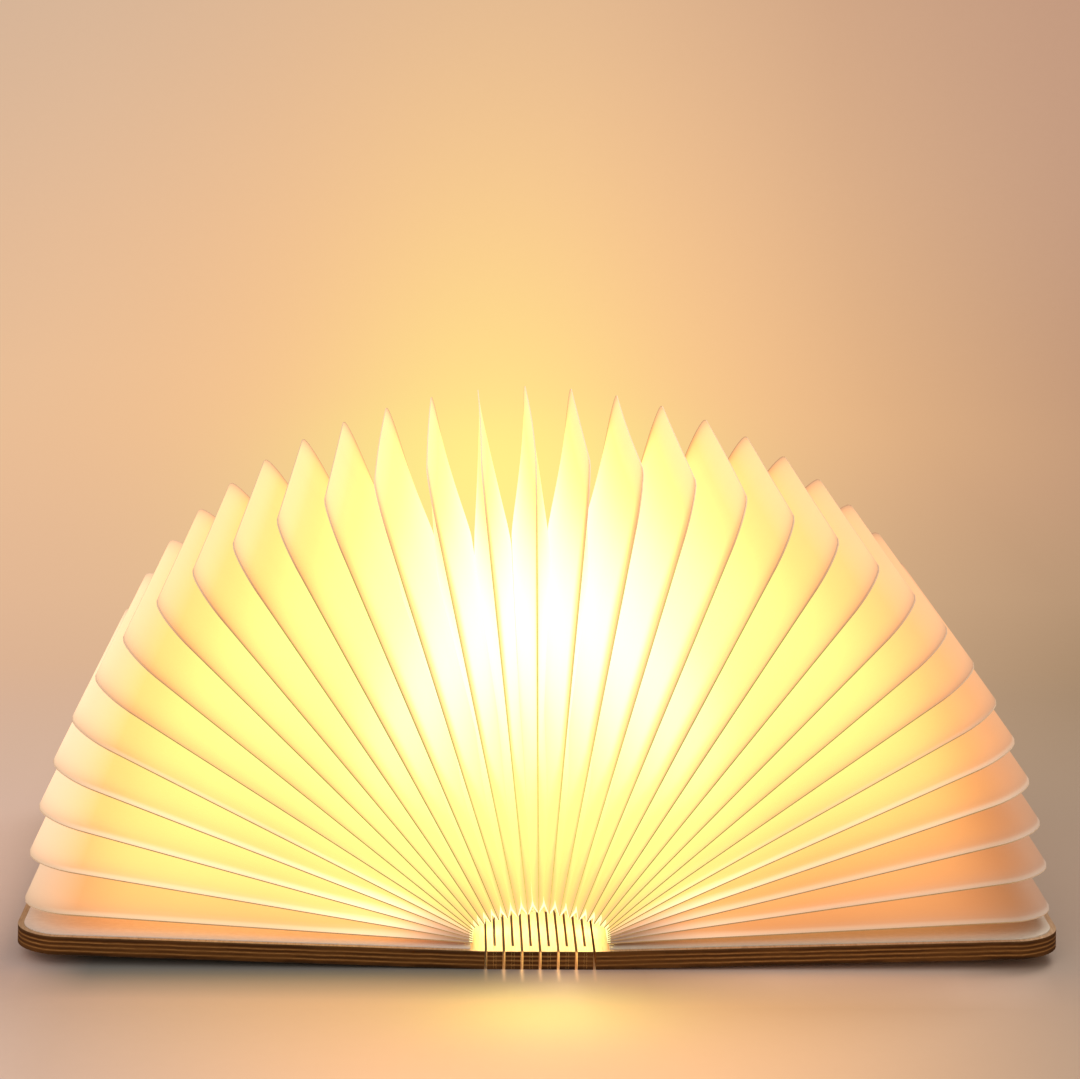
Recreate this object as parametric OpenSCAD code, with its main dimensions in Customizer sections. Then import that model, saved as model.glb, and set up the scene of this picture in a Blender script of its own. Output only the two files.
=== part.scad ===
// Folding book lamp, shown open on a table with its pages fanned out.
// Origin: middle of the spine's underside. X runs across the open book, Y into it, Z up.

/* [Board] */
// Depth of the book, along the spine
book_d = 122; // [100:1:160]
// Thickness of the plywood
board_t = 3.6; // [3:0.1:4]
// Width of one cover, from the last slit to its outer edge
cover_w = 90.5; // [80:0.5:110]
// Radius of a cover's outer corners
cover_r = 9; // [4:0.5:15]
// How far each cover lifts off the table when the book lies open, in degrees
cover_lift = 1.75; // [0:0.05:2]

/* [Slit spine] */
// Distance from one slit to the next
slit_pitch = 1.74; // [1.7:0.01:1.9]
// Width of a slit
kerf = 0.5; // [0.48:0.01:0.55]
// Length of each wooden web left between the slits
web_l = 3.3; // [2:0.1:5]
// Distance from the middle of the spine to the webs of the open-ended slits
web_y = 20; // [12:1:30]

/* [Pages] */
// How much narrower a page is than its cover
page_short = 3.5; // [2.5:0.1:10]
// Depth of a page, along the spine
page_d = 118; // [80:1:120]
// Thickness of a page, both layers together
page_t = 0.22; // [0.15:0.01:0.24]
// Radius of a page's outer corners
page_r = 9.5; // [3:0.5:15]
// Lean of the page that stands upright in the middle, in degrees
upright_angle = -1; // [-2:0.1:2]
// Angle between neighbouring pages, in degrees
page_angle = 5.475; // [5.2:0.005:5.5]
// How much wider the outermost pages on the left stand apart, in degrees
outer_angle = 0.44; // [0:0.01:0.5]
// Height of the pages' inner ends above the spine at the top of the arch
arch_rise = 7.2; // [6.9:0.1:9]
// How much lower the arch would be at a page lying flat
arch_drop = 6.4; // [6:0.1:6.5]
// Half width of the arch
arch_reach = 13; // [12.5:0.1:13.5]
// How fast the arch widens as the pages lean, as a factor on their angle
arch_factor = 1.65; // [1.6:0.01:1.7]
// Height of the paper folds that join neighbouring pages at the arch
fold_rise = 1.6; // [1:0.1:2]
// Thickness of the paper of those folds
fold_t = 0.15; // [0.1:0.01:0.2]

/* [Endpapers] */
// Thickness of an endpaper
endpaper_t = 0.2; // [0.1:0.01:0.25]
// Cover left bare around an endpaper
endpaper_margin = 1.2; // [0.5:0.1:4]
// Cover left bare between the last slit and the endpaper
endpaper_start = 3; // [2:0.1:6]

/* [Light rail] */
// Front end of the rail, behind the front edge of the spine
rail_setback = 25; // [15:1:40]
// Distance from the rail's back end to the back edge of the spine
rail_tail = 3; // [0.5:0.1:3.4]
// Half width of the rail's foot
foot_half = 1.2; // [1:0.05:1.25]
// Height of the foot
foot_h = 0.9; // [0.8:0.05:1]
// Half width of the flange
flange_half = 3.1; // [3:0.05:3.2]
// Thickness of the flange
flange_t = 0.5; // [0.4:0.05:0.6]
// Thickness of a lip that holds the board and the tube
lip_t = 0.45; // [0.3:0.05:0.5]
// Height of a lip
lip_h = 1; // [0.6:0.05:1.2]
// Clearance between the rail's lips and what clips to them
rail_fit = 0.05; // [0.03:0.01:0.08]
// Radius of a rail screw's head
screw_head_r = 1; // [0.8:0.05:1.05]
// Radius of a rail screw's shank
screw_r = 0.5; // [0.4:0.05:0.6]
// Length of a rail screw's shank below the flange
screw_l = 3.4; // [2:0.1:4]
// Clearance around a rail screw
screw_fit = 0.04; // [0.02:0.01:0.08]

/* [Light strip] */
// Thickness of the light strip's board
strip_t = 0.6; // [0.5:0.05:0.7]
// Distance from one light to the next
light_pitch = 3.2; // [3:0.1:3.3]
// Board left bare at each end of the row of lights
light_margin = 1; // [0.5:0.1:4]
// Width of a light, across and along the board
light_w = 1.6; // [1.2:0.1:2]
// Height of a light
light_h = 0.7; // [0.5:0.05:0.8]
// Length of the magnet switch at the front of the board
switch_l = 1.6; // [1.2:0.1:1.8]
// Width of the magnet switch
switch_w = 3; // [2:0.1:3.2]
// Height of the magnet switch
switch_h = 1.1; // [0.8:0.05:1.3]

/* [Tube and cell] */
// Wall of the light tube
tube_t = 0.5; // [0.4:0.05:0.55]
// Height of the light tube's straight sides
tube_side = 2.1; // [2:0.05:2.4]
// Thickness of the light tube's closed ends
tube_end_t = 0.6; // [0.4:0.05:0.8]
// Radius of the cell
cell_r = 2.2; // [2:0.05:2.25]
// Length of the cell
cell_l = 30; // [20:0.5:36]

/* [Charging] */
// Width of the charging board
charger_w = 6; // [5:0.1:6.2]
// Length of the charging board
charger_l = 11.4; // [10:0.1:14]
// Distance from the charging board's back end to the back edge of the spine
charger_tail = 3.5; // [3.5:0.1:5]
// Thickness of the charging board
charger_t = 0.8; // [0.6:0.05:0.9]
// Width of the charging chip, across and along the board
chip_w = 2.2; // [1.5:0.1:2.4]
// Height of the charging chip
chip_h = 0.9; // [0.6:0.1:1.2]
// Width of the coil beside it
coil_w = 1.6; // [1.2:0.1:2]
// Height of the coil
coil_h = 1.1; // [0.8:0.1:1.4]
// Space between what stands on the charging board
charger_gap = 0.7; // [0.4:0.1:0.9]
// Width of the charging socket
socket_w = 8.94; // [8.9:0.01:9]
// Height of the charging socket
socket_h = 3.16; // [3.1:0.01:3.2]
// Length of the charging socket
socket_l = 7.3; // [6.5:0.1:7.5]
// Wall of the charging socket's shell
socket_t = 0.3; // [0.25:0.01:0.35]
// Thickness of the charging socket's closed end
socket_back_t = 1; // [0.6:0.1:1.5]
// Width of the tongue in the socket
tongue_w = 6.69; // [6.5:0.01:6.8]
// Thickness of the tongue
tongue_t = 0.7; // [0.6:0.05:0.8]
// How far the tongue stops short of the socket's mouth
tongue_setback = 1; // [0.5:0.1:1.5]

/* [Magnets] */
// Radius of a cover magnet
magnet_r = 4; // [3:0.1:5]
// Thickness of a cover magnet
magnet_t = 1.5; // [1:0.1:1.8]
// Distance of the cover magnets from the cover's outer edge
magnet_inset = 12; // [10:0.5:20]
// Distance of the cover magnets from the middle of the spine
magnet_y = 45; // [30:1:45]
// Radial clearance of a magnet in its pocket
magnet_fit = 0.05; // [0.03:0.01:0.1]

/* [Hidden] */
$fn = 64;
cut = 0.1;
strips_a_side = 5;
page_n = 32;
upright_page = 16;
wide_pages = 8;
half_d = book_d / 2;
page_w = cover_w - page_short;
last_slit = strips_a_side + 1;
spine_half = last_slit * slit_pitch;
web_fit = 0.06;
fold_fit = 0.1;
fold_least = 1;
seat_gap = 0.02;

// Heights of the light unit, each worked out from the piece below it
flange_z = board_t + foot_h;
deck_z = flange_z + flange_t;
light_z = deck_z + strip_t;
socket_z = deck_z + charger_t + socket_h / 2;
lip_out = flange_half - tube_t - rail_fit;
lip_in = lip_out - lip_t;
tube_z = deck_z + tube_side;

// Places along the spine: the ends are set by its edges, and the light strip fills what is left
rail_y = -half_d + rail_setback;
rail_l = book_d - rail_setback - rail_tail;
socket_y = half_d - socket_l;
charger_y = half_d - charger_tail - charger_l;
tube_l = charger_y - rail_fit - rail_y;
cell_y = rail_y + tube_l - tube_end_t - rail_fit - cell_l;
board_y = rail_y + tube_end_t + 2 * rail_fit;
strip_l = cell_y - rail_fit - board_y;
strip_half = lip_in - rail_fit;
first_light_y = board_y + rail_fit + switch_l + 2 * light_margin;
light_n = 1 + floor((strip_l - switch_l - 3 * light_margin - rail_fit - light_w) / light_pitch);

function strip_name(side, i) = str("strip_", side < 0 ? "left" : "right", "_", i);
function page_name(k) = str("page_", k < 10 ? "0" : "", k);
function page_lean(k) = upright_angle + (k - upright_page) * page_angle
    - outer_angle * max(0, wide_pages - k);
function arch_x(a) = sign(a) * arch_reach * sin(min(90, arch_factor * abs(a)));
function arch_z(a) = board_t + arch_rise - arch_drop * abs(a) / 90;
function arch_point(k) = [arch_x(page_lean(k)), arch_z(page_lean(k))];
function page_way(k) = [sin(page_lean(k)), cos(page_lean(k))];
function page_side(k) = [cos(page_lean(k)), -sin(page_lean(k))];
function arch_gap(k) = norm(arch_point(k + 1) - arch_point(k));

// A sheet whose inner edge is at 0 and whose two outer corners are round
module round_sheet(w, d, r) {
    translate([0, -d / 2 + r]) square([w, d - 2 * r]);
    translate([0, -d / 2]) square([w - r, d]);
    for (s = [-1, 1]) translate([w - r, s * (d / 2 - r)]) circle(r);
}

// A rectangle with half-round ends
module slot_shape(w, h) {
    square([w - h, h], center = true);
    for (s = [-1, 1]) translate([s * (w - h) / 2, 0]) circle(h / 2);
}

// A block centred on X that starts at y and stands on z
module block(w, y, l, z, h) {
    translate([-w / 2, y, z]) cube([w, l, h]);
}

// What follows lies on a cover: X out from the last slit, Z up from the middle of the board
module on_cover(side) {
    mirror([side < 0 ? 1 : 0, 0, 0])
        translate([spine_half, 0, board_t / 2]) rotate([0, -cover_lift, 0]) children();
}

// The webs that cross one slit. Even slits are open at the ends, odd ones are closed there
module slit_webs(n, w) {
    ys = n % 2 == 0 ? [-web_y, web_y] : [-half_d + web_l / 2, 0, half_d - web_l / 2];
    for (y = ys) translate([n * slit_pitch - w / 2, y - web_l / 2, 0]) cube([w, web_l, board_t]);
}

// One wooden strip between two slits
module strip(side, i) {
    x = side < 0 ? -(i + 1) * slit_pitch : i * slit_pitch;
    color("#c79a63")
        translate([x + kerf / 2, -half_d, 0]) cube([slit_pitch - kerf, book_d, board_t]);
}

module screw_places() {
    for (y = [-web_y, web_y]) translate([0, y, flange_z]) children();
}

// The two middle strips, joined by their webs, which carry the light unit
module spine_core() {
    color("#c79a63") difference() {
        union() {
            for (side = [-1, 1]) strip(side, 0);
            slit_webs(0, kerf + 2 * seat_gap);
        }
        screw_places() translate([0, 0, -screw_l - screw_fit])
            cylinder(r = screw_r + screw_fit, h = screw_l + cut);
    }
}

// The thin wooden webs that twist when the spine bends
module hinge_webs() {
    color("#b78a55") for (side = [-1, 1], n = [1:last_slit])
        mirror([side < 0 ? 1 : 0, 0, 0]) slit_webs(n, kerf - 2 * web_fit);
}

module magnet_places() {
    for (s = [-1, 1]) translate([cover_w - magnet_inset, s * magnet_y, board_t / 2]) children();
}

module cover(side) {
    color("#c79a63") on_cover(side) difference() {
        translate([0, 0, -board_t / 2]) linear_extrude(board_t) difference() {
            round_sheet(cover_w, book_d, cover_r);
            translate([-cut, -half_d - cut]) square([cut + kerf / 2, book_d + 2 * cut]);
        }
        magnet_places() translate([0, 0, -magnet_t - magnet_fit])
            cylinder(r = magnet_r + magnet_fit, h = magnet_t + magnet_fit + cut);
    }
}

module endpaper(side) {
    color("#f4efe4") on_cover(side) translate([endpaper_start, 0, board_t / 2])
        linear_extrude(endpaper_t) round_sheet(
            cover_w - endpaper_start - endpaper_margin,
            book_d - 2 * endpaper_margin,
            cover_r - endpaper_margin
        );
}

module magnets(side) {
    color("#b9bdc1") on_cover(side) magnet_places()
        translate([0, 0, -magnet_t]) cylinder(r = magnet_r, h = magnet_t);
}

module page(k) {
    color("#fff3c4") translate([arch_point(k)[0], 0, arch_point(k)[1]]) rotate([0, page_lean(k), 0])
        translate([page_t / 2, 0, 0]) rotate([0, -90, 0])
            linear_extrude(page_t) round_sheet(page_w, page_d, page_r);
}

// The outline of the fold between pages k and k + 1, seen from the front
module fold_outline(k) {
    clear = page_t / 2 + fold_fit;
    from = arch_point(k) + page_side(k) * clear;
    to = arch_point(k + 1) - page_side(k + 1) * clear;
    middle_way = (page_way(k) + page_way(k + 1)) / 2;
    top = (from + to) / 2 + middle_way * fold_rise;
    polygon([
        from, top, to,
        to + page_way(k + 1) * fold_t, top + middle_way * fold_t, from + page_way(k) * fold_t
    ]);
}

// The paper folds that join one side's pages over the light, where the pages stand well apart
module page_folds(side) {
    first = side < 0 ? 1 : upright_page;
    last = side < 0 ? upright_page - 1 : page_n - 1;
    color("#fff8dc") for (k = [first:last]) if (arch_gap(k) > fold_least)
        translate([0, page_d / 2, 0]) rotate([90, 0, 0]) linear_extrude(page_d) fold_outline(k);
}

module light_rail() {
    color("#c9ccd0") difference() {
        union() {
            block(2 * foot_half, rail_y, rail_l, board_t, foot_h + seat_gap);
            block(2 * flange_half, rail_y, rail_l, flange_z, flange_t);
            for (s = [-1, 1]) translate([s * (lip_in + lip_t / 2), 0, 0])
                block(lip_t, rail_y + tube_end_t + rail_fit, tube_l - 2 * (tube_end_t + rail_fit),
                    deck_z - seat_gap, lip_h + seat_gap);
        }
        screw_places() translate([0, 0, -foot_h - cut])
            cylinder(r = screw_r + screw_fit, h = foot_h + flange_t + 2 * cut);
        screw_places() translate([0, 0, -screw_fit])
            cylinder(r = screw_head_r + screw_fit, h = flange_t + screw_fit + cut);
    }
}

module rail_screws() {
    color("#8d9196") screw_places() {
        cylinder(r = screw_head_r, h = flange_t - seat_gap);
        translate([0, 0, -screw_l]) cylinder(r = screw_r, h = screw_l + seat_gap);
    }
}

// The board under the lights, with the magnet switch soldered on its front end
module light_strip() {
    color("#f2f2ee") {
        block(2 * strip_half, board_y, strip_l, deck_z, strip_t);
        block(switch_w, board_y + rail_fit, switch_l, light_z - seat_gap, switch_h + seat_gap);
    }
}

module lights() {
    color("#ffe9a0") for (i = [0:light_n - 1])
        block(light_w, first_light_y + i * light_pitch, light_w, light_z, light_h);
}

// The outline of the light tube, seen from the front: straight sides under a half-round top
module tube_outline(half_w) {
    translate([-half_w, deck_z]) square([2 * half_w, tube_side]);
    intersection() {
        translate([0, tube_z]) circle(half_w);
        translate([-half_w, tube_z - cut]) square([2 * half_w, half_w + cut]);
    }
}

module light_tube() {
    color("#fffbe6") difference() {
        translate([0, rail_y + tube_l, 0]) rotate([90, 0, 0])
            linear_extrude(tube_l) tube_outline(flange_half);
        translate([0, rail_y + tube_l - tube_end_t, 0]) rotate([90, 0, 0])
            linear_extrude(tube_l - 2 * tube_end_t) tube_outline(flange_half - tube_t);
        block(2 * (flange_half - tube_t), rail_y + tube_end_t, tube_l - 2 * tube_end_t,
            deck_z - cut, 2 * cut);
    }
}

module cell() {
    color("#3f6fa8") translate([0, cell_y, deck_z + cell_r + seat_gap]) rotate([-90, 0, 0])
        cylinder(r = cell_r, h = cell_l);
}

// The charging board with its chip and its coil
module charging_board() {
    color("#2f6b46") {
        block(charger_w, charger_y, charger_l, deck_z, charger_t);
        block(chip_w, charger_y + charger_gap, chip_w, deck_z + charger_t - seat_gap, chip_h);
        translate([charger_gap / 2, charger_y + 2 * charger_gap + chip_w, deck_z + charger_t - seat_gap])
            cube([coil_w, coil_w, coil_h]);
    }
}

module charging_socket() {
    inner_w = socket_w - 2 * socket_t;
    inner_h = socket_h - 2 * socket_t;
    color("#cfd2d6") {
        translate([0, half_d, socket_z]) rotate([90, 0, 0]) difference() {
            linear_extrude(socket_l) slot_shape(socket_w, socket_h);
            translate([0, 0, -cut]) linear_extrude(socket_l - socket_back_t + cut)
                slot_shape(inner_w, inner_h);
        }
        block(tongue_w, socket_y + socket_back_t - seat_gap, socket_l - socket_back_t - tongue_setback,
            socket_z - tongue_t / 2, tongue_t);
    }
}

spine_core();
hinge_webs();
for (side = [-1, 1], i = [1:strips_a_side])
    strip(side, i);
cover(-1);  // left_cover
cover(1);  // right_cover
endpaper(-1);  // left_endpaper
endpaper(1);  // right_endpaper
for (k = [1:page_n])
    page(k);
page_folds(-1);  // left_page_folds
page_folds(1);  // right_page_folds
light_rail();
rail_screws();
light_strip();
lights();
light_tube();
cell();
charging_board();
charging_socket();
magnets(-1);  // left_magnets
magnets(1);  // right_magnets
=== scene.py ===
"""Looks of the folding book lamp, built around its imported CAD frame. Lengths in the tables are in mm."""
import math

import bmesh
import bpy
from mathutils import Matrix, Vector


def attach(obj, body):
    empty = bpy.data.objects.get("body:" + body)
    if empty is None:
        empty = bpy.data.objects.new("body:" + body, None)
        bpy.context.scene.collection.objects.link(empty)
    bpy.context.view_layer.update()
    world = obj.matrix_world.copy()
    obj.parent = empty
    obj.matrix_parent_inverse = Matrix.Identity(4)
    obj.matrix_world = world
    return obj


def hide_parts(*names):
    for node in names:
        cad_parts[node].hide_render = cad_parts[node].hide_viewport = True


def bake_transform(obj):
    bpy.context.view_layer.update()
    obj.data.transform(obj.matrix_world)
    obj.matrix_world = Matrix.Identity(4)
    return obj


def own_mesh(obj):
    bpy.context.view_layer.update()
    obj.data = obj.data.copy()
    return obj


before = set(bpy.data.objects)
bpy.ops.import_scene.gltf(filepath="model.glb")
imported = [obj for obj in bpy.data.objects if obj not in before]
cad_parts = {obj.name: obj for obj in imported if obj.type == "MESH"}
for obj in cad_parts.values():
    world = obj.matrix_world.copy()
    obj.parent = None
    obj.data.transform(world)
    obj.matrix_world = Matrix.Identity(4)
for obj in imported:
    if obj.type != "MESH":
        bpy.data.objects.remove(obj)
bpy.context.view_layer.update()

MM = 0.001

# The book's measures, the same as in the part's source
BOARD_T = 3.6
STRIPS = 5
PITCH = 1.74
KERF = 0.5
LIFT = math.radians(1.75)
SPINE = (STRIPS + 1) * PITCH
BOOK_D = 122.0
PAGE_W = 87.0
PAGE_D = 118.0
PAGE_T = 0.22
PAGE_R = 9.5
PAGES = 32
WEB_L = 3.3
WEB_Y = 20.0

# The fan: the last page of the left side stands nearly upright, and the first seven lie a little wider apart
UPRIGHT = 16
UPRIGHT_ANGLE = -1
PAGE_ANGLE = 5.475
OUTER_PAGES = 8
OUTER_ANGLE = 0.44
ARCH_REACH = 13
ARCH_RISE = 7.2
ARCH_DROP = 6.4
ARCH_FACTOR = 1.65
FOLD_RISE = 1.6


def lean(k):
    """How far page k leans to the right."""
    return math.radians(UPRIGHT_ANGLE + (k - UPRIGHT) * PAGE_ANGLE - OUTER_ANGLE * max(0, OUTER_PAGES - k))


def arch(k):
    """Where page k starts on the arch over the spine."""
    a = lean(k)
    low = abs(math.degrees(a))
    x = ARCH_REACH * math.sin(math.radians(min(90, ARCH_FACTOR * low)))
    return (math.copysign(x, a), BOARD_T + ARCH_RISE - ARCH_DROP * low / 90)


def smooth(lo, hi, x):
    """0 below lo and 1 above hi, with a soft step between."""
    t = min(1.0, max(0.0, (x - lo) / (hi - lo)))
    return t * t * (3 - 2 * t)


# Materials
class Nodes:
    """A material's node tree, with short ways to add and join nodes."""

    def __init__(self, name):
        self.mat = bpy.data.materials.new(name)
        self.mat.use_nodes = True
        self.tree = self.mat.node_tree
        self.tree.nodes.clear()
        self.out = self.add("ShaderNodeOutputMaterial")

    def add(self, kind, **values):
        node = self.tree.nodes.new(kind)
        for key, value in values.items():
            setattr(node, key, value)
        return node

    def link(self, a, b):
        self.tree.links.new(a, b)

    def put(self, socket, value):
        if isinstance(value, bpy.types.NodeSocket):
            self.link(value, socket)
        else:
            socket.default_value = value

    def math(self, op, *args, clamp=False):
        node = self.add("ShaderNodeMath", operation=op, use_clamp=clamp)
        for i, a in enumerate(args):
            self.put(node.inputs[i], a)
        return node.outputs[0]

    def vec(self, op, *args):
        node = self.add("ShaderNodeVectorMath", operation=op)
        for i, a in enumerate(args):
            self.put(node.inputs[i], a)
        return node.outputs["Value" if op in ("LENGTH", "DOT_PRODUCT") else "Vector"]

    def where(self):
        return self.add("ShaderNodeTexCoord").outputs["Object"]

    def normal(self):
        return self.add("ShaderNodeTexCoord").outputs["Normal"]

    def split(self, v):
        return self.add_linked("ShaderNodeSeparateXYZ", v).outputs

    def add_linked(self, kind, v):
        node = self.add(kind)
        self.link(v, node.inputs[0])
        return node

    def mapped(self, v, scale=(1, 1, 1), rotation=(0, 0, 0), location=(0, 0, 0)):
        node = self.add("ShaderNodeMapping")
        self.link(v, node.inputs["Vector"])
        node.inputs["Scale"].default_value = scale
        node.inputs["Rotation"].default_value = rotation
        node.inputs["Location"].default_value = location
        return node.outputs[0]

    def noise(self, v, scale, detail=3.0, rough=0.55):
        node = self.add("ShaderNodeTexNoise")
        self.link(v, node.inputs["Vector"])
        node.inputs["Scale"].default_value = scale
        node.inputs["Detail"].default_value = detail
        node.inputs["Roughness"].default_value = rough
        return node.outputs["Fac"]

    def span(self, v, a, b, c=0.0, d=1.0):
        node = self.add("ShaderNodeMapRange")
        self.put(node.inputs["Value"], v)
        for name, x in zip(("From Min", "From Max", "To Min", "To Max"), (a, b, c, d)):
            node.inputs[name].default_value = x
        return node.outputs[0]

    def ramp(self, v, stops, ease="LINEAR"):
        node = self.add("ShaderNodeValToRGB")
        self.put(node.inputs[0], v)
        node.color_ramp.interpolation = ease
        els = node.color_ramp.elements
        while len(els) < len(stops):
            els.new(0.5)
        for el, (p, c) in zip(els, stops):
            el.position = p
            el.color = (*c, 1)
        return node.outputs[0]

    def mix(self, f, a, b, blend="MIX"):
        node = self.add("ShaderNodeMix", data_type="RGBA", blend_type=blend)
        self.put(node.inputs["Factor"], f)
        ins = [s for s in node.inputs if s.type == "RGBA"]
        for socket, value in zip(ins, (a, b)):
            self.put(socket, value if isinstance(value, bpy.types.NodeSocket) else (*value, 1))
        return [s for s in node.outputs if s.type == "RGBA"][0]

    def bump(self, h, strength, distance):
        node = self.add("ShaderNodeBump")
        self.link(h, node.inputs["Height"])
        node.inputs["Strength"].default_value = strength
        node.inputs["Distance"].default_value = distance
        return node.outputs[0]

    def surface(self, color, rough=0.6, metal=0.0, normal=None, emission=None, coat=0.0, spec=0.5):
        b = self.add("ShaderNodeBsdfPrincipled")
        if not isinstance(color, bpy.types.NodeSocket):
            color = (*color, 1)
        self.put(b.inputs["Base Color"], color)
        self.put(b.inputs["Roughness"], rough)
        b.inputs["Metallic"].default_value = metal
        b.inputs["Coat Weight"].default_value = coat
        b.inputs["Specular IOR Level"].default_value = spec
        if normal is not None:
            self.link(normal, b.inputs["Normal"])
        if emission is not None:
            self.put(b.inputs["Emission Color"], emission)
            b.inputs["Emission Strength"].default_value = 1.0
        self.link(b.outputs[0], self.out.inputs["Surface"])
        return self.mat


# Tints of the lamp's light: through the paper, where it is dim, and on pale paper
GLOW = (1.0, 0.47, 0.13)
SALMON = (1.0, 0.385, 0.13)
CREAM = (1.0, 0.70, 0.46)
WHITEST = (1.0, 1.0, 0.97)


def lit(n, amount, pale=0.0, dim_tint=GLOW):
    """The colour of warm light seen through white paper. As it grows it runs from orange over yellow to
    white. Where it is dim it may be pinker, and where the paper is pale it is creamy."""
    grown = n.add("ShaderNodeCombineXYZ")
    for i in range(3):
        n.put(grown.inputs[i], amount)
    tint = n.mix(pale, n.mix(n.span(amount, 0.5, 1.2), dim_tint, GLOW), CREAM)
    return n.vec("MINIMUM", n.vec("MULTIPLY", grown.outputs[0], tint), WHITEST)


def attribute(n, name):
    return n.add("ShaderNodeAttribute", attribute_name=name).outputs["Fac"]


def page_paper():
    n = Nodes("page_paper")
    at = n.where()
    fibre = n.noise(n.mapped(at, scale=(1, 1.6, 1)), 900, 4, 0.7)
    cloud = n.noise(at, 45, 3)
    wave = n.math("ADD", n.math("MULTIPLY", fibre, 0.10), n.math("MULTIPLY", cloud, 0.08))
    glow = n.math("MULTIPLY", attribute(n, "glow"), n.math("ADD", wave, 0.91))
    pale = attribute(n, "pale")
    # Painted shade: the paper's base is dark where pale is low, and the painted glow gives the colour there;
    # where pale is high it is the paper's own pale colour.
    base = n.ramp(pale, [(0.0, (0.09, 0.075, 0.045)), (0.42, (0.22, 0.185, 0.165)),
                         (1.0, (0.47, 0.42, 0.37))])
    base = n.mix(n.math("MULTIPLY", fibre, 0.16), base, (0.13, 0.10, 0.08))
    return n.surface(base, 0.82, normal=n.bump(fibre, 0.12, 0.0002),
                     emission=lit(n, glow, n.span(pale, 0.55, 1.0), SALMON), spec=0.2)


def page_edge():
    n = Nodes("page_edge")
    fleck = n.noise(n.where(), 700, 3)
    glow = n.math("MULTIPLY", attribute(n, "glow"), n.span(fleck, 0, 1, 0.85, 1.15))
    # Painted shade: the edge line's dark brown base stands for the thin shadow a page's edge throws on the
    # page below; where pale is high it turns toward the paper's pale colour.
    base = n.ramp(fleck, [(0.3, (0.09, 0.065, 0.03)), (0.75, (0.15, 0.11, 0.055))])
    pale = attribute(n, "pale")
    glow = n.math("MULTIPLY", glow, n.span(pale, 0.0, 1.0, 1.0, 1.2))
    base = n.mix(n.span(pale, 0.4, 1.0), base, (0.50, 0.42, 0.36))
    olive = n.mix(n.span(pale, 0.0, 0.4), (0.8, 1.4, 1.1), (0.9, 0.85, 0.8))
    return n.surface(base, 0.9, emission=n.vec("MULTIPLY", lit(n, glow, pale), olive), spec=0.2)


def fold_paper():
    n = Nodes("fold_paper")
    fibre = n.noise(n.where(), 800, 4, 0.7)
    glow = n.math("MULTIPLY", attribute(n, "glow"), n.span(fibre, 0, 1, 0.92, 1.08))
    base = n.ramp(fibre, [(0.3, (0.30, 0.25, 0.2)), (0.7, (0.36, 0.31, 0.26))])
    return n.surface(base, 0.8, normal=n.bump(fibre, 0.1, 0.0002), emission=lit(n, glow), spec=0.25)


def endpaper(side):
    """Pale paper, with some of the lamp's light on the part under the lowest page."""
    n = Nodes("endpaper_left" if side < 0 else "endpaper_right")
    at = n.where()
    xyz = n.split(at)
    fibre = n.noise(n.mapped(at, scale=(1, 1.8, 1)), 700, 4, 0.65)
    x = n.math("ABSOLUTE", xyz[0])
    base = n.ramp(fibre, [(0.25, (0.70, 0.61, 0.54)), (0.75, (0.80, 0.71, 0.64))])
    # Painted shade: the right endpaper's base is darker and greener than the left's, though both are the same
    # paper.
    if side > 0:
        base = n.vec("MULTIPLY", base, (0.84, 0.86, 0.80))
    inward = n.math("ADD", xyz[1], BOOK_D / 2 * MM)
    inner = n.math("MULTIPLY", n.span(inward, 0.003, 0.014), n.span(x, 0.095, 0.05, 0.0, 1.0))
    amount, tint = (0.40, (1.0, 0.55, 1.0)) if side < 0 else (0.09, (0.8, 1.6, 2.4))
    glow = n.vec("MULTIPLY", lit(n, n.math("MULTIPLY", inner, amount)), tint)
    return n.surface(base, 0.85, normal=n.bump(fibre, 0.08, 0.0002), emission=glow, spec=0.2)


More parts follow.
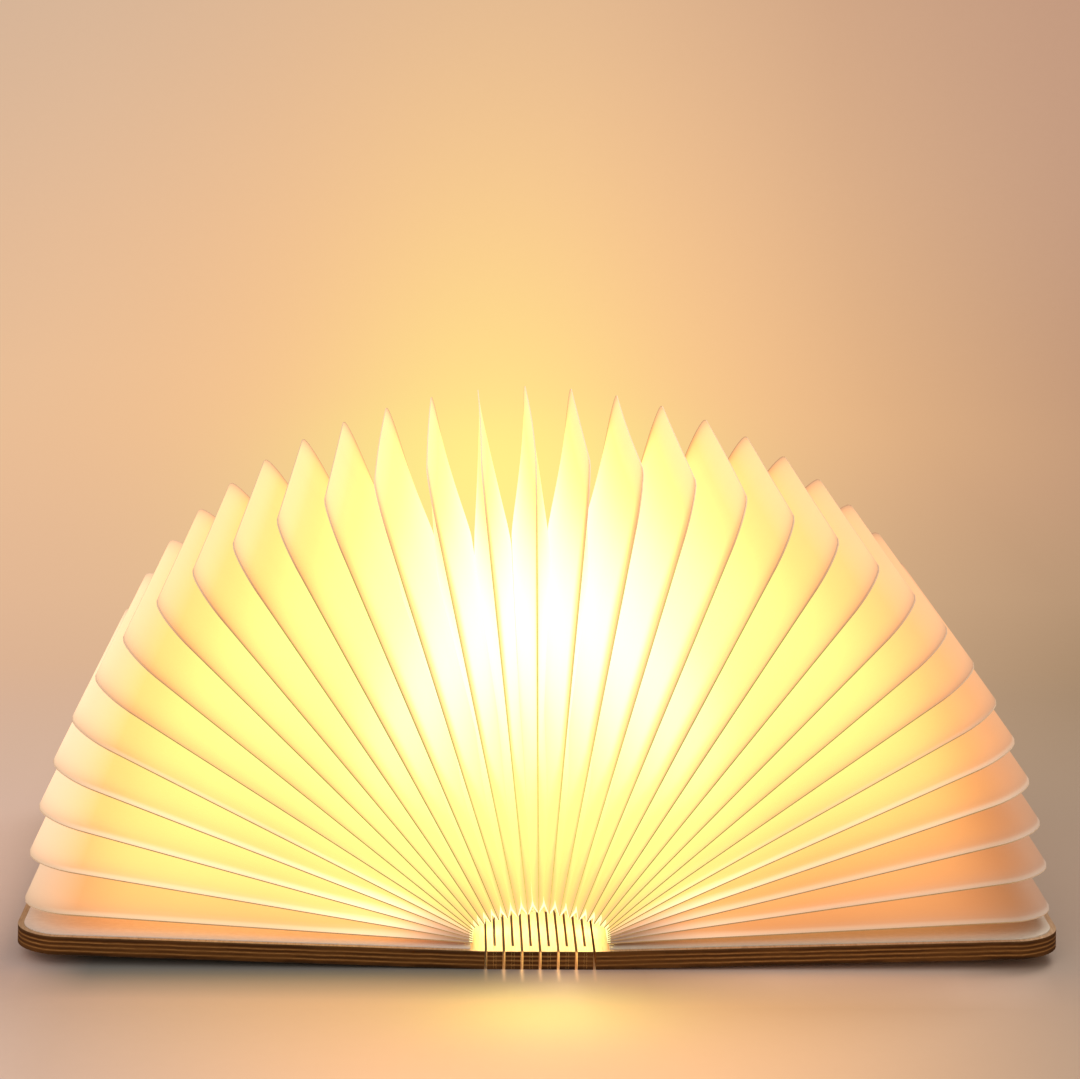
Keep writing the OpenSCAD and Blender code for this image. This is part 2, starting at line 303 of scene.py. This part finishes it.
def plywood(side):
    """Birch plywood: plain face veneer with fine grain along the spine, laser-browned edges with lighter
    plies, and the lamp's light on the part inside the arch."""
    n = Nodes({-1: "plywood_left", 0: "plywood_spine", 1: "plywood_right"}[side])
    at = n.where()
    xyz = n.split(at)
    height = xyz[2]
    if side:
        out = n.math("SUBTRACT", n.math("ABSOLUTE", xyz[0]), SPINE * MM)
        above = n.math("MULTIPLY", n.math("SUBTRACT", xyz[2], BOARD_T * MM / 2), math.cos(LIFT))
        height = n.math("SUBTRACT", above, n.math("MULTIPLY", out, math.sin(LIFT)))
        height = n.math("ADD", height, BOARD_T * MM / 2)
    share = n.math("DIVIDE", height, BOARD_T * MM)
    facing = n.math("ABSOLUTE", n.split(n.normal())[2])
    edge = n.span(facing, 0.7, 0.3)

    grain = n.noise(n.mapped(at, scale=(9, 0.8, 9)), 260, 5, 0.6)
    band = n.noise(n.mapped(at, scale=(3, 0.25, 3)), 60, 3)
    face = n.ramp(grain, [(0.28, (0.36, 0.22, 0.12)), (0.5, (0.52, 0.345, 0.205)),
                          (0.75, (0.62, 0.44, 0.275))])
    face = n.mix(n.math("MULTIPLY", band, 0.35), face, (0.40, 0.25, 0.14))

    rough = n.noise(n.mapped(at, scale=(1, 1, 0.2)), 160, 4, 0.65)
    fleck = n.noise(n.mapped(at, scale=(1.4, 1.4, 9)), 420, 4, 0.7)
    ply = n.math("ADD", share, n.math("MULTIPLY", n.math("SUBTRACT", rough, 0.5), 0.08))
    dark, light, mid = (0.045, 0.012, 0.001), (0.42, 0.20, 0.060), (0.155, 0.060, 0.013)
    plies = n.ramp(ply, [(0.0, (0.028, 0.016, 0.006)), (0.13, dark),
                         (0.20, mid), (0.24, light), (0.28, mid), (0.36, dark),
                         (0.44, mid), (0.49, light), (0.53, mid), (0.62, dark),
                         (0.68, mid), (0.72, light), (0.76, mid), (0.84, dark),
                         (0.955, (0.10, 0.045, 0.014)), (1.0, (0.30, 0.18, 0.09))])
    plies = n.mix(n.span(fleck, 0.35, 0.75, 0.0, 0.45), plies, (0.045, 0.016, 0.003))
    patch = n.noise(n.mapped(at, scale=(1, 1, 6)), 90, 3, 0.6)
    plies = n.mix(n.span(patch, 0.42, 0.66, 0.0, 0.6), plies, mid)
    colour = n.mix(edge, face, plies)
    near = n.math("ADD", n.math("MULTIPLY", grain, 0.6), n.math("MULTIPLY", fleck, 0.4))
    top = n.math("MULTIPLY", n.span(n.split(n.normal())[2], 0.7, 0.9),
                 n.span(n.math("ABSOLUTE", xyz[0]), (SPINE + 3.2) * MM, (SPINE + 1.2) * MM))
    glow = n.math("MULTIPLY", top, n.span(grain, 0, 1, 1.25, 1.65))
    if side == 0:
        glow = n.math("ADD", glow, n.math("MULTIPLY", slit_light(n, xyz), n.span(rough, 0, 1, 0.8, 1.2)))
    glow = lit(n, glow)
    return n.surface(colour, n.span(edge, 0, 1, 0.55, 0.85), normal=n.bump(near, 0.25, 0.0003), emission=glow,
                     spec=0.12)


# The lit part of a slit's wall lies below a line from its front top corner: mm down per mm in from the front
SLIT_FALL = 0.31
# Out from the middle, in m: slits within SLIT_FULL show all of this light, those past SLIT_REACH 0.35 of it
SLIT_REACH, SLIT_FULL = 0.0112, 0.0085


def slit_light(n, xyz):
    """The light that falls out at the front through the open slits. It shows low on their walls, near the
    front."""
    wall = n.span(n.math("ABSOLUTE", n.split(n.normal())[0]), 0.6, 0.8)
    drop = n.math("MULTIPLY", n.math("ADD", xyz[1], BOOK_D / 2 * MM), SLIT_FALL)
    below = n.math("SUBTRACT", n.math("SUBTRACT", BOARD_T * MM, drop), xyz[2])
    mask = n.math("MULTIPLY", wall, n.span(below, 0.0, 0.0003))
    middle = n.span(n.math("ABSOLUTE", xyz[0]), SLIT_REACH, SLIT_FULL, 0.35, 1.0)
    fade = n.span(xyz[2], 0.0, BOARD_T * MM, 0.75, 1.45)
    spill = n.math("MULTIPLY", n.math("MULTIPLY", mask, middle), fade)
    return n.math("ADD", spill, n.math("MULTIPLY", wall, 0.13))


def metal(name, color, rough, stretch, scale):
    n = Nodes(name)
    streak = n.noise(n.mapped(n.where(), scale=stretch), scale, 4, 0.6)
    tone = n.mix(n.math("MULTIPLY", streak, 0.35), color, tuple(c * 0.72 for c in color))
    sheen = n.span(streak, 0.2, 0.8, rough - 0.07, rough + 0.1)
    return n.surface(tone, sheen, 1.0, n.bump(streak, 0.06, 0.0001))


def moulded(name, color, rough, coat=0.0, emission=None, strength=0.0):
    n = Nodes(name)
    grain = n.noise(n.where(), 1500, 3, 0.6)
    tone = n.mix(n.math("MULTIPLY", grain, 0.22), color, tuple(c * 0.75 for c in color))
    light = None
    if emission:
        amount = n.span(grain, 0, 1, strength * 0.94, strength * 1.06)
        light = n.vec("MULTIPLY", lit(n, amount), emission)
    sheen = n.span(grain, 0.2, 0.8, rough - 0.05, rough + 0.08)
    return n.surface(tone, sheen, 0.0, n.bump(grain, 0.08, 0.0001), light, coat)


PAPER = page_paper()
SEAM = page_edge()
FOLDED = fold_paper()


def dress(node, material):
    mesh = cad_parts[node].data
    mesh.materials.clear()
    mesh.materials.append(material)


ply = {side: plywood(side) for side in (-1, 0, 1)}
dress("spine_core", ply[0])
for word, side in (("left", -1), ("right", 1)):
    for i in range(1, STRIPS + 1):
        dress(f"strip_{word}_{i}", ply[0])
    dress(f"{word}_cover", ply[side])
    dress(f"{word}_endpaper", endpaper(side))
    dress(f"{word}_magnets", metal(f"nickel_{word}", (0.72, 0.71, 0.68), 0.18, (1, 1, 1), 400))
dress("light_rail", metal("rail_aluminium", (0.80, 0.80, 0.82), 0.38, (12, 0.6, 12), 500))
dress("rail_screws", metal("screw_steel", (0.50, 0.50, 0.52), 0.3, (1, 1, 1), 900))
dress("charging_socket", metal("socket_steel", (0.74, 0.75, 0.77), 0.24, (8, 1, 8), 500))
dress("light_strip", moulded("board_white", (0.86, 0.86, 0.82), 0.4, 0.3))
dress("lights", moulded("light_phosphor", (0.95, 0.80, 0.35), 0.35, 0.4, (1, 1, 1), 8.0))
dress("light_tube", moulded("milky_tube", (0.85, 0.82, 0.74), 0.45, 0.2, (1, 1, 1), 7.5))
dress("cell", moulded("cell_wrap", (0.10, 0.24, 0.48), 0.3, 0.4))
dress("charging_board", moulded("board_green", (0.03, 0.20, 0.09), 0.35, 0.5))


# Pages
def mesh_object(name, verts, faces, materials, face_mats=None, attrs=None, shade=True):
    mesh = bpy.data.meshes.new(name)
    mesh.from_pydata([tuple(c * MM for c in v) for v in verts], [], faces)
    for m in materials:
        mesh.materials.append(m)
    if face_mats:
        mesh.polygons.foreach_set("material_index", face_mats)
    for key, values in (attrs or {}).items():
        mesh.attributes.new(key, "FLOAT", "POINT").data.foreach_set("value", values)
    mesh.polygons.foreach_set("use_smooth", [shade] * len(mesh.polygons))
    mesh.update()
    obj = bpy.data.objects.new(name, mesh)
    bpy.context.scene.collection.objects.link(obj)
    return obj


def point(k, r, s, y):
    """A point r mm out along page k, s mm to its right-hand side."""
    a = lean(k)
    x0, z0 = arch(k)
    return (x0 + r * math.sin(a) + s * math.cos(a), y, z0 + r * math.cos(a) - s * math.sin(a))


def room(k, side, r):
    """Half the space between page k and its neighbour on that side, r mm out. Next to a cover it is half the
    height over the cover's paper, and at least 0.16 mm."""
    j = k + side
    if 1 <= j <= PAGES:
        a, b = point(k, r, 0, 0), point(j, r, 0, 0)
        return 0.5 * math.hypot(a[0] - b[0], a[2] - b[2]) * math.cos((lean(j) - lean(k)) / 2)
    x, _, z = point(k, r, 0, 0)
    top = BOARD_T + 0.25 + max(0.0, abs(x) - SPINE) * math.tan(LIFT)
    return max(0.16, 0.5 * (z - top))


# The white core over the light: how strong it is, and how far it reaches to either side, in degrees
CORE = 4.3
CORE_WIDE, CORE_NARROWING = 34, 13


def glow_at(k, side, r, y, inward):
    """How brightly a page's layer on that side glows r mm out, y mm along the spine and inward mm from its
    front and back edges. Low pages glow less, most of all on the right; upright ones have a white core over
    the light; and a layer that faces up is dimmer near its edges than one that faces down."""
    a = math.degrees(lean(k))
    low = abs(a)
    facing = math.copysign(1, -a * side) * smooth(-2, 9, low)
    if a < 0:
        glow = 2.2 - 0.45 * smooth(40, 76, low) - 0.75 * smooth(76, 90, low)
        end = 0.27 + 0.10 * smooth(10, 50, low)
        outer = 1 - 0.16 * smooth(55, 78, r) - end * smooth(66, 90, r)
    else:
        glow = 2.1 - 0.35 * smooth(40, 64, low) - 0.85 * smooth(60, 80, low) - 0.20 * smooth(80, 88, low)
        end = 0.27 + 0.21 * smooth(10, 60, low)
        outer = 1 - 0.18 * smooth(55, 78, r) - end * smooth(66, 90, r)
    root = 1 - 0.20 * (1 - smooth(0, 15, r)) - 0.60 * smooth(54, 76, low) * (1 - smooth(2, 22, r))
    edge = math.exp(-inward / 6.0) * (0.28 + 0.22 * facing) * (0.3 + 0.7 * smooth(14, 44, r))
    glow *= outer * root * (1 - edge)
    wide = CORE_WIDE - CORE_NARROWING * smooth(30, 60, r)
    core = CORE * math.exp(-((a - 1) / wide) ** 4) * smooth(14, 52, r) * (1 - 0.97 * smooth(54, 86, r))
    if facing > 0:
        core *= smooth(1.0 + 1.8 * facing, 4.5 + 4.0 * facing, inward)
    else:
        core *= smooth(0.4 + 0.6 * (1 + facing), 1.6 + 2.9 * (1 + facing), inward)
    return glow + core * (1 - 0.5 * smooth(30, 60, y))


def pale_at(k, side, r, inward):
    """How much of a page's colour is plain paper in room light: most at its rim and outer end. Low pages are
    paler, with a broad creamy rim on the layer that faces up."""
    a = math.degrees(lean(k))
    low = abs(a)
    rim = 0.6 * (1 - smooth(0.4, 1.4, inward))
    cream = 0.95 * math.exp(-(inward / 4.6) ** 2) * smooth(35, 72, low) if -a * side > 0 else 0.0
    tip = smooth(58, 92, r) * (0.72 + 0.28 * smooth(40, 70, low))
    if a > 0:
        tip *= 1 - 0.34 * smooth(40, 66, low)
    return max(rim, cream, tip, 0.42 * smooth(4, 34, r), 0.56 * smooth(58, 80, low))


# A page's mesh: rows of points outward and along the spine, closer together near the edges
ROWS = 34
COLS = 40
HALF = PAGE_D / 2
# The flat seam round a page, where its two layers are joined
FLAT = 1.0
# A page is thickest this far out
PEAK = 0.70 * PAGE_W
# Space left between two pages' layers
CLEAR = 0.045
# The pages that wave a little at their outer end, and by how much
WAVY = range(13, 21)
WAVE = 0.45


def reach(r):
    """How far a page reaches along the spine from its middle, r mm out."""
    over = r - (PAGE_W - PAGE_R)
    if over <= 0:
        return HALF
    return HALF - PAGE_R + math.sqrt(max(0.0, PAGE_R ** 2 - over ** 2))


def column(j):
    t = -1 + 2 * j / COLS
    return math.copysign(1 - (1 - abs(t)) ** 1.55, t)


def edge_distance(r, y):
    """How far a point of a page is from its outer, front and back edges."""
    over, across = r - (PAGE_W - PAGE_R), abs(y) - (HALF - PAGE_R)
    if over > 0 and across > 0:
        return PAGE_R - math.hypot(over, across)
    return min(PAGE_W - r, HALF - abs(y))


def puff_at(k, side, r, y):
    """How far a page's layer on that side swells out. Away from the seam it fills its half of the space to
    the next page."""
    d = max(0.0, edge_distance(r, y))
    flat = FLAT * (0.4 + 0.6 * smooth(0, 20, r))
    if d <= flat:
        return 0.0
    u = min(1.0, (d - flat) / (0.8 + 5.2 * smooth(0, 30, r)))
    across = max(0.0, 1 - (abs(y) / (HALF - flat)) ** (74 - 71.7 * smooth(0, 31, r)))
    gap = room(k, side, min(r, PEAK)) - PAGE_T / 2 - CLEAR
    if r > PEAK:
        gap *= max(0.0, (PAGE_W - FLAT - r) / (PAGE_W - FLAT - PEAK))
    return max(0.0, gap) * across * (u * (2 - u))


def page(k):
    verts, faces, mats, glow, pale = [], [], [], [], []
    rs = [PAGE_W * (1 - (1 - i / ROWS) ** 1.45) for i in range(ROWS + 1)]
    low = abs(math.degrees(lean(k)))
    # Painted shade: the painted glow is dimmer along the flat seam near the front and back edges, most on
    # upright pages.
    seam_dimming = 0.42 * (1 - 0.8 * smooth(30, 65, low))
    for side in (-1, 1):
        for r in rs:
            for j in range(COLS + 1):
                y = column(j) * reach(r)
                wave = 0.0
                if k in WAVY:
                    bow = math.sin(math.pi * (y + HALF) / PAGE_D)
                    wave = WAVE * bow * smooth(40, 87, r) * math.sin(1.3 * k)
                s = side * (PAGE_T / 2 + puff_at(k, side, r, y)) + wave
                verts.append(point(k, r, s, y))
                inward = max(0.0, reach(r) - abs(y))
                dimmed = 1 - seam_dimming * (1 - smooth(0.3, 1.4, inward))
                glow.append(glow_at(k, side, r, y, inward) * dimmed)
                pale.append(pale_at(k, side, r, inward))
    n = COLS + 1
    layer = (ROWS + 1) * n
    for side in (0, 1):
        for i in range(ROWS):
            for j in range(COLS):
                a = side * layer + i * n + j
                quad = (a, a + 1, a + n + 1, a + n)
                faces.append(quad if side else quad[::-1])
                mats.append(0)
    # the closed edges: the ends of the two layers, seen as a thin line
    ring = [i * n for i in range(ROWS + 1)]
    ring += [ROWS * n + j for j in range(1, n)]
    ring += [i * n + COLS for i in range(ROWS - 1, -1, -1)]
    seam = 0.24 + 0.11 * glow_at(k, 1, 60, 0, 20)
    # Painted light: the seam line of pages that lie low is paler and less olive, as room light falls on it,
    # and paler still toward the outer end.
    low_page_seam_pale = 0.4 * smooth(45, 75, low)
    for a, b in zip(ring, ring[1:]):
        base = len(verts)
        for v in (a, b, b + layer, a + layer):
            verts.append(verts[v])
            glow.append(seam)
            pale.append(max(low_page_seam_pale, 0.75 * smooth(66, 88, rs[min(ROWS, v % layer // n)])))
        faces.append((base, base + 1, base + 2, base + 3))
        mats.append(1)
    obj = mesh_object(f"pocket_{k:02d}", verts, faces, [PAPER, SEAM], mats, {"glow": glow, "pale": pale})
    body = f"page_{k:02d}"
    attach(obj, body)
    a = lean(k)
    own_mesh(obj)
    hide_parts(body)
    return obj


for k in range(1, PAGES + 1):
    page(k)


# Folds between the pages
FOLD_STEPS = 24
FOLD_T = 0.12
# The share of the way up and down a fold at which its points lie
UP = (0, 0.25, 0.5, 0.75, 0.92, 1.0)
DOWN = (0.08, 0.25, 0.5, 0.75, 1.0)


def between(a, b, t):
    return (a[0] + (b[0] - a[0]) * t, a[1] + (b[1] - a[1]) * t)


def fold_line(k):
    """The path of the fold between page k and the next: up from one page's root and down to the other's."""
    clear = PAGE_T / 2 + 0.03
    start, end = point(k, 0, clear, 0)[::2], point(k + 1, 0, -clear, 0)[::2]
    rise = FOLD_RISE * min(1.0, 2 * room(k, 1, 0) / 1.2)
    way = (lean(k) + lean(k + 1)) / 2
    top = ((start[0] + end[0]) / 2 + math.sin(way) * rise, (start[1] + end[1]) / 2 + math.cos(way) * rise)
    return [between(start, top, t) for t in UP] + [between(top, end, t) for t in DOWN]


def folds(side):
    verts, faces, glow = [], [], []
    first, last = (1, UPRIGHT) if side < 0 else (UPRIGHT, PAGES)
    for k in range(first, last):
        curve = fold_line(k)
        base = len(verts)
        for x, z in curve:
            for j in range(FOLD_STEPS + 1):
                verts.append((x, -HALF + PAGE_D * j / FOLD_STEPS, z))
                glow.append(4.6 - 1.6 * smooth(8, 14, abs(x)))
        for i in range(len(curve) - 1):
            for j in range(FOLD_STEPS):
                v = base + i * (FOLD_STEPS + 1) + j
                faces.append((v, v + 1, v + FOLD_STEPS + 2, v + FOLD_STEPS + 1))
    word = "left" if side < 0 else "right"
    obj = mesh_object(f"fold_paper_{word}", verts, faces, [FOLDED], attrs={"glow": glow})
    thick = obj.modifiers.new("thickness", "SOLIDIFY")
    thick.thickness = FOLD_T * MM
    thick.offset = 0
    bpy.context.view_layer.objects.active = obj
    obj.select_set(True)
    bpy.ops.object.modifier_apply(modifier="thickness")
    obj.select_set(False)
    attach(obj, f"{word}_folds")
    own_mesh(obj)
    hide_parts(f"{word}_page_folds")
    return obj


folds(-1)
folds(1)


# Webs in the slits
def web_piece(side, i):
    """The webs across one slit, a little narrower at their middle."""
    w = KERF - 0.02
    slit_x = side * i * PITCH
    ys = (-WEB_Y, WEB_Y) if i % 2 == 0 else (-BOOK_D / 2 + WEB_L / 2, 0.0, BOOK_D / 2 - WEB_L / 2)
    bm = bmesh.new()
    for y in ys:
        made = bmesh.ops.create_cube(bm, size=1.0)
        bmesh.ops.scale(bm, vec=(w * MM, WEB_L * MM, BOARD_T * MM), verts=made["verts"])
        bmesh.ops.translate(bm, vec=(slit_x * MM, y * MM, BOARD_T * MM / 2), verts=made["verts"])
    long = [e for e in bm.edges if abs((e.verts[0].co - e.verts[1].co).y) > 1e-4]
    bmesh.ops.subdivide_edges(bm, edges=long, cuts=3, use_grid_fill=True)
    for v in bm.verts:
        t = min(abs(v.co.y / MM - y) for y in ys) / (WEB_L / 2)
        v.co.x = slit_x * MM + (v.co.x - slit_x * MM) * (0.94 + 0.06 * t * t)
    word = "left" if side < 0 else "right"
    mesh = bpy.data.meshes.new(f"webs_{word}_{i}")
    bm.to_mesh(mesh)
    bm.free()
    mesh.materials.append(ply[0])
    obj = bpy.data.objects.new(f"webs_{word}_{i}", mesh)
    bpy.context.scene.collection.objects.link(obj)
    inner = "root" if i == 1 else f"{word}_strip_{i - 1}"
    if i > STRIPS:
        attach(obj, inner)
    else:
        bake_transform(obj)
    return obj


first_webs = None
for side in (-1, 1):
    for i in range(1, STRIPS + 2):
        piece = web_piece(side, i)
        first_webs = first_webs or piece
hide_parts("hinge_webs")


# Floor and backdrop
# The sheet of paper, in mm: it lies flat to FLOOR_END, curves up with CURVE as its radius, and rises on
FLOOR_START, FLOOR_END, CURVE = -1500, 700, 260
CURVE_STEPS = 16
SHEET_HALF = 1500


def sheet_profile():
    flat = [(FLOOR_START + i * 220, 0.0) for i in range(11)]
    bend = []
    for i in range(1, CURVE_STEPS + 1):
        a = math.radians(90 * i / CURVE_STEPS)
        bend.append((FLOOR_END + CURVE * math.sin(a), CURVE * (1 - math.cos(a))))
    return flat + bend + [(FLOOR_END + CURVE, CURVE + i * 150) for i in range(1, 9)]


def sheet_paint():
    """Warm paper: in the lamp's glow behind it, and in front with the light that falls out through its
    slits."""
    s = Nodes("studio_paper")
    at = s.where()
    x, y, z = s.split(at)

    def bell(cx, cv, wx, wv, v):
        dx = s.math("DIVIDE", s.math("SUBTRACT", x, cx), wx)
        dv = s.math("DIVIDE", s.math("SUBTRACT", v, cv), wv)
        far = s.math("ADD", s.math("MULTIPLY", dx, dx), s.math("MULTIPLY", dv, dv))
        return s.math("EXPONENT", s.math("MULTIPLY", far, -1.0))

    def times(first, *others):
        for other in others:
            first = s.math("MULTIPLY", first, other)
        return first

    # behind: painted light, warm round the fan, and painted shade that makes it browner to the right; way is
    # the length along the sheet
    way = s.math("ADD", y, z)
    along = s.span(way, 0.0, 1.1)
    left = s.ramp(along, [(0.0, (0.64, 0.43, 0.31)), (0.15, (0.686, 0.43, 0.295)),
                          (0.27, (0.72, 0.45, 0.295)), (0.7, (0.735, 0.475, 0.305)),
                          (0.84, (0.70, 0.455, 0.30)), (1.0, (0.63, 0.43, 0.30))])
    right = s.ramp(along, [(0.0, (0.20, 0.135, 0.07)), (0.15, (0.18, 0.125, 0.07)),
                           (0.27, (0.30, 0.195, 0.125)), (0.45, (0.34, 0.20, 0.145)),
                           (0.7, (0.42, 0.24, 0.165)), (1.0, (0.49, 0.285, 0.195))])
    across_way = s.ramp(s.span(x, -0.20, 0.28), [(0.0, (0, 0, 0)), (0.5, (0.28, 0.28, 0.28)),
                                                 (0.77, (0.86, 0.86, 0.86)), (1.0, (1, 1, 1))])
    wall = s.mix(across_way, left, right)
    wall = s.mix(times(bell(0.018, 0.74, 0.195, 0.40, way), 0.90), wall, (1.0, 0.575, 0.25))
    wall = s.mix(times(bell(0.000, 0.50, 0.070, 0.33, way), 0.92), wall, (1.0, 0.88, 0.24))

    # in front: greyer paper with painted shade that darkens it to the right, a painted shadow under the left
    # cover and painted light that lightens the shade under the right one
    table = s.ramp(s.span(x, -0.115, 0.11), [(0.0, (0.80, 0.62, 0.56)), (0.12, (0.66, 0.50, 0.44)),
                                             (0.5, (0.62, 0.45, 0.37)), (1.0, (0.45, 0.35, 0.28))])
    shade = times(s.span(x, -0.099, -0.086), s.span(x, 0.004, -0.012), s.span(y, -0.079, -0.0645))
    table = s.mix(shade, table, s.vec("MULTIPLY", table, (0.42, 0.54, 0.58)))
    # Painted light: lightens the floor's shade under the right cover.
    shade_lightened_right = times(s.span(x, 0.020, 0.045), s.span(x, 0.098, 0.080),
                 s.span(y, -0.083, -0.0655), s.span(y, -0.050, -0.060))
    table = s.mix(shade_lightened_right, table, s.vec("MULTIPLY", table, (1.5, 1.55, 1.6)))

    # the light that falls out: a wide glow, a hot spot, and a streak from each open slit
    spill = times(bell(0.0, -0.118, 0.066, 0.062, y), s.span(y, -0.063, -0.082))
    hot = times(bell(0.0, -0.088, 0.020, 0.016, y), s.span(y, -0.063, -0.076))
    apart = times(s.math("PINGPONG", x, PITCH * MM), 1 / MM)
    streak = s.math("EXPONENT", times(apart, apart, -9.0))
    streak = times(streak, s.span(s.math("ABSOLUTE", x), 0.012, 0.008),
                   s.span(y, -0.0615, -0.0605, 1.0, 0.0), s.span(y, -0.069, -0.062))
    fallen = s.add("ShaderNodeCombineXYZ")
    for i, (a, b, c) in enumerate(((0.46, 0.12, 0.5), (0.17, 0.20, 0.26), (0.0, 0.0, 0.10))):
        warm = s.math("ADD", times(spill, a), times(hot, b))
        s.put(fallen.inputs[i], s.math("ADD", warm, times(streak, c)))

    back = s.span(y, -0.055, 0.20)
    grain = s.noise(at, 300, 4)
    base = s.mix(back, table, (0.02, 0.015, 0.01))
    b = s.add("ShaderNodeBsdfPrincipled")
    s.link(s.mix(times(grain, 0.06), base, (0.3, 0.2, 0.13)), b.inputs["Base Color"])
    b.inputs["Roughness"].default_value = 0.6
    b.inputs["Specular IOR Level"].default_value = 0.2
    s.link(s.mix(back, fallen.outputs[0], wall), b.inputs["Emission Color"])
    s.link(s.add("ShaderNodeLightPath").outputs["Is Camera Ray"], b.inputs["Emission Strength"])
    s.link(b.outputs[0], s.out.inputs["Surface"])
    return s.mat


def backdrop():
    """A sheet of paper that lies on the table and curves up behind the lamp, in the lamp's own warm glow."""
    profile = sheet_profile()
    across = range(-SHEET_HALF, SHEET_HALF + 1, 250)
    verts = [(x, y, z) for y, z in profile for x in across]
    n = len(across)
    faces = [(i * n + j, i * n + j + 1, (i + 1) * n + j + 1, (i + 1) * n + j)
             for i in range(len(profile) - 1) for j in range(n - 1)]
    obj = mesh_object("studio_paper", verts, faces, [sheet_paint()])
    return obj


backdrop()


# Light and camera
def area(name, place, target, size, power, color):
    lamp = bpy.data.lights.new(name, "AREA")
    lamp.shape = "DISK"
    lamp.size = size
    lamp.energy = power
    lamp.color = color
    obj = bpy.data.objects.new(name, lamp)
    obj.location = place
    obj.rotation_euler = (Vector(target) - Vector(place)).to_track_quat("-Z", "Y").to_euler()
    bpy.context.scene.collection.objects.link(obj)


area("key", (0.55, 0.60, 1.2), (0, 0, 0.0), 0.8, 8.0, (1.0, 0.95, 0.90))
area("fill", (-0.4, -1.1, 0.8), (0, 0, 0.03), 1.0, 5.0, (1.0, 0.95, 0.90))

# The lamp's own light, inside the arch of folds near its front
OWN_Y = -0.048
OWN_XZ = ((-0.0088, 0.0066), (-0.003, 0.0085), (0.003, 0.0085), (0.0088, 0.0066))
OWN_POWER = 0.0030
for x, z in OWN_XZ:
    lamp = bpy.data.lights.new("own_light", "POINT")
    lamp.energy = OWN_POWER
    lamp.color = (1.0, 0.80, 0.24)
    lamp.shadow_soft_size = 0.001
    obj = bpy.data.objects.new("own_light", lamp)
    obj.location = (x, OWN_Y, z)
    bpy.context.scene.collection.objects.link(obj)

world = bpy.data.worlds.new("studio")
world.use_nodes = True
world.node_tree.nodes["Background"].inputs[0].default_value = (1.0, 0.93, 0.87, 1)
world.node_tree.nodes["Background"].inputs[1].default_value = 0.55
bpy.context.scene.world = world

# The camera stands in front of the lamp and looks down at it a little, as in the photo
EYE = (-0.0175, -0.640, 0.1924)
YAW, PITCH_DOWN, ROLL = math.radians(1.62), math.radians(10.6), math.radians(0.78)
level = math.cos(PITCH_DOWN)
ahead = Vector((math.sin(YAW) * level, math.cos(YAW) * level, -math.sin(PITCH_DOWN)))
flat_right = ahead.cross(Vector((0, 0, 1))).normalized()
flat_up = flat_right.cross(ahead)
right_way = math.cos(ROLL) * flat_right + math.sin(ROLL) * flat_up
up_way = -math.sin(ROLL) * flat_right + math.cos(ROLL) * flat_up
camera = bpy.data.cameras.new("camera")
camera.sensor_fit = "HORIZONTAL"
camera.sensor_width = 36
camera.lens = 105.0
camera.clip_start = 0.01
camera.clip_end = 20
eye = bpy.data.objects.new("camera", camera)
eye.matrix_world = Matrix((
    (right_way.x, up_way.x, -ahead.x, EYE[0]),
    (right_way.y, up_way.y, -ahead.y, EYE[1]),
    (right_way.z, up_way.z, -ahead.z, EYE[2]),
    (0, 0, 0, 1)))
bpy.context.scene.collection.objects.link(eye)
bpy.context.scene.camera = eye
bpy.context.scene.view_settings.view_transform = "Standard"
